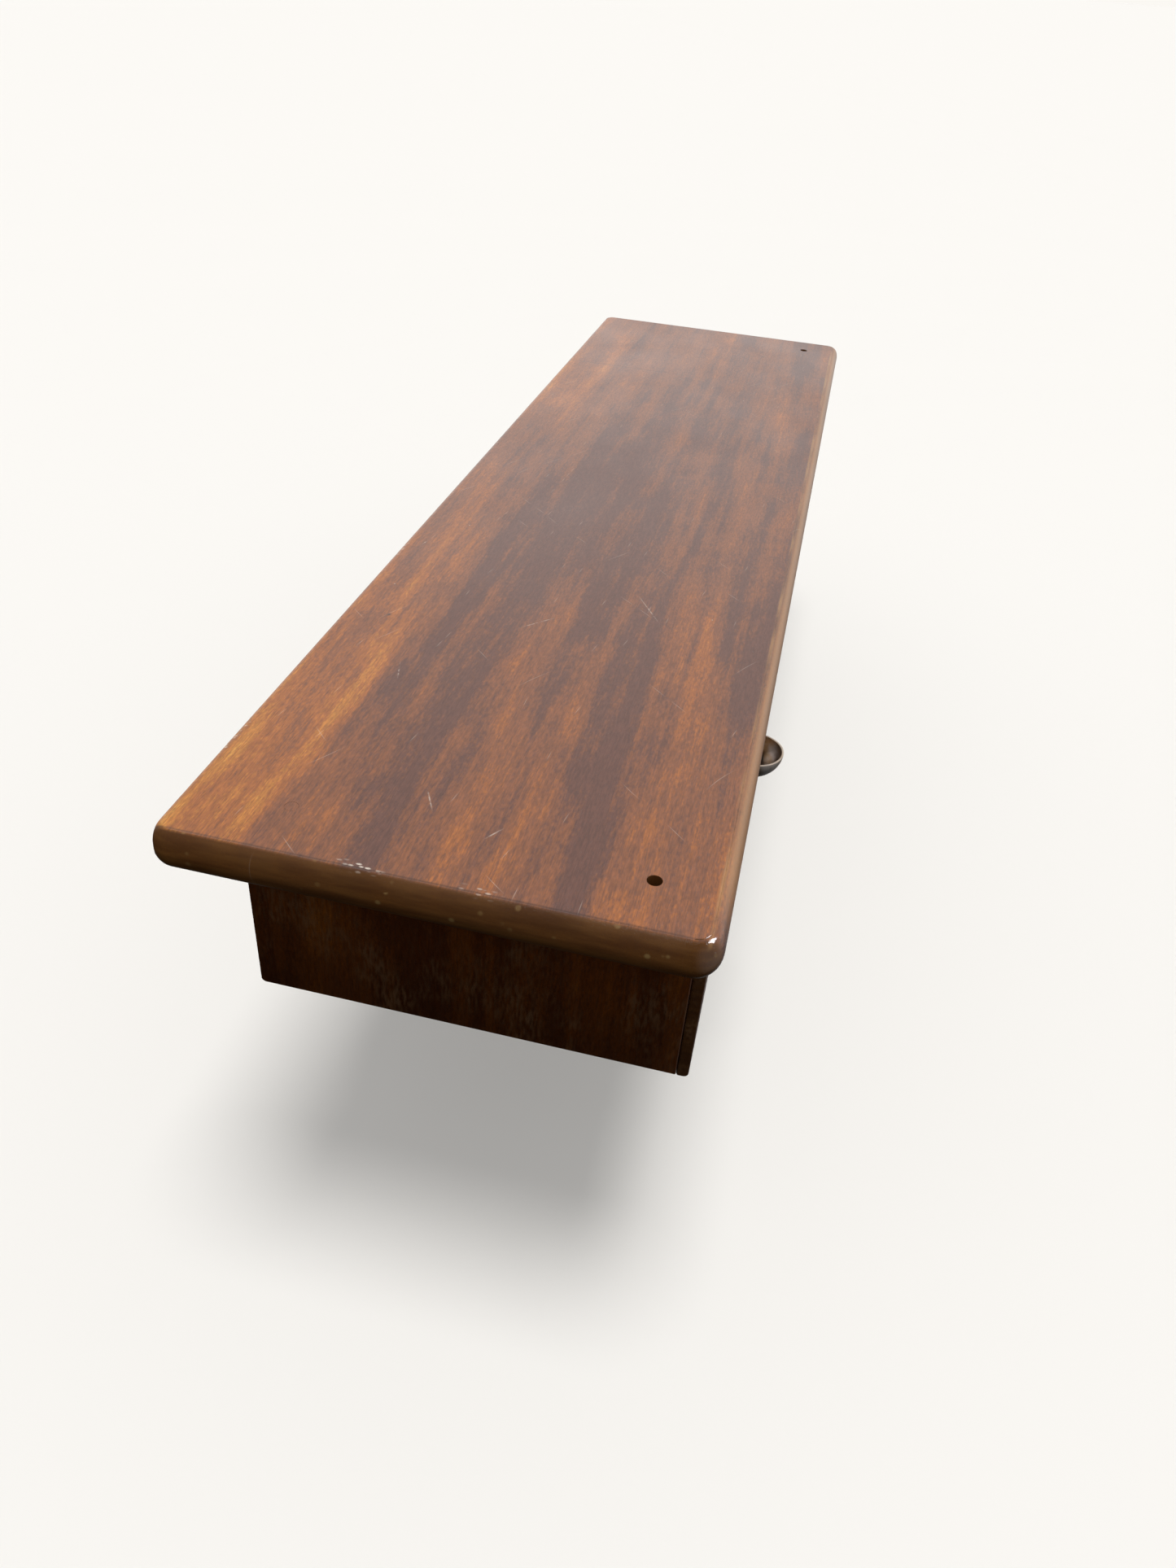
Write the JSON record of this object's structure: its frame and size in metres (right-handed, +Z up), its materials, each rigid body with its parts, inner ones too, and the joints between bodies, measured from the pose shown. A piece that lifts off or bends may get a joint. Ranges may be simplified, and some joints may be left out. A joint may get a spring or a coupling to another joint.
{
  "type": "wall shelf with drawer",
  "caption": "Long narrow wooden wall shelf: rounded top board on a shallow case with a drawer, a metal half-bowl pull, an open compartment and a hanging rail.",
  "frame": {"origin": "middle of the shelf's length and of the top board's depth, on the underside of the case", "axes": "+X along the shelf to the right as seen from the front, +Y towards the wall, so the drawer opens towards -Y, +Z up"},
  "size_m": [1, 0.2798, 0.1165],
  "materials": {
    "mahogany": "red-brown mahogany, long dark and amber streaks, satin lacquer",
    "drawer_wood": "plain light brown hardwood, bare and slightly stained",
    "dark_bronze": "dark bronzed metal, satin, with a worn bright rim",
    "screw_steel": "dull slotted steel"
  },
  "bodies": {
    "carcase": {"back_panel": "drawer_wood", "back_screw_left_1": "screw_steel", "back_screw_left_2": "screw_steel", "back_screw_middle_1": "screw_steel", "back_screw_middle_2": "screw_steel", "back_screw_right_1": "screw_steel", "back_screw_right_2": "screw_steel", "bottom_board": "mahogany", "centre_divider": "mahogany", "drawer_runner_left": "drawer_wood", "drawer_runner_right": "drawer_wood", "drawer_stop_left": "drawer_wood", "drawer_stop_right": "drawer_wood", "end_panel_left": "mahogany", "end_panel_right": "mahogany", "front_rail": "mahogany", "front_rail_screw_1": "screw_steel", "front_rail_screw_2": "screw_steel", "hanging_rail": "drawer_wood", "hanging_rail_screw_1": "screw_steel", "hanging_rail_screw_2": "screw_steel", "hanging_rail_screw_3": "screw_steel", "hanging_rail_screw_4": "screw_steel", "kicker_left": "drawer_wood", "kicker_right": "drawer_wood", "runner_screw_left_1": "screw_steel", "runner_screw_left_2": "screw_steel", "runner_screw_right_1": "screw_steel", "runner_screw_right_2": "screw_steel", "top_board": "mahogany", "top_plug_back_left": "mahogany", "top_plug_back_right": "mahogany", "top_screw_back_left": "screw_steel", "top_screw_back_right": "screw_steel", "top_screw_front_left": "screw_steel", "top_screw_front_right": "screw_steel"},
    "drawer": {"bottom_pin_1": "screw_steel", "bottom_pin_2": "screw_steel", "bottom_pin_3": "screw_steel", "cup_pull": "dark_bronze", "drawer_back": "drawer_wood", "drawer_bottom": "drawer_wood", "drawer_front": "mahogany", "drawer_side_left": "drawer_wood", "drawer_side_right": "drawer_wood", "pull_screw_1": "screw_steel", "pull_screw_2": "screw_steel", "pull_washer_1": "screw_steel", "pull_washer_2": "screw_steel", "turn_button": "mahogany", "turn_button_screw": "screw_steel"}
  },
  "joints": [
    {"name": "drawer_slide", "type": "slide", "parent": "carcase", "child": "drawer", "axis": [0, -1, 0], "range_m": [0, 0.156]}
  ]
}
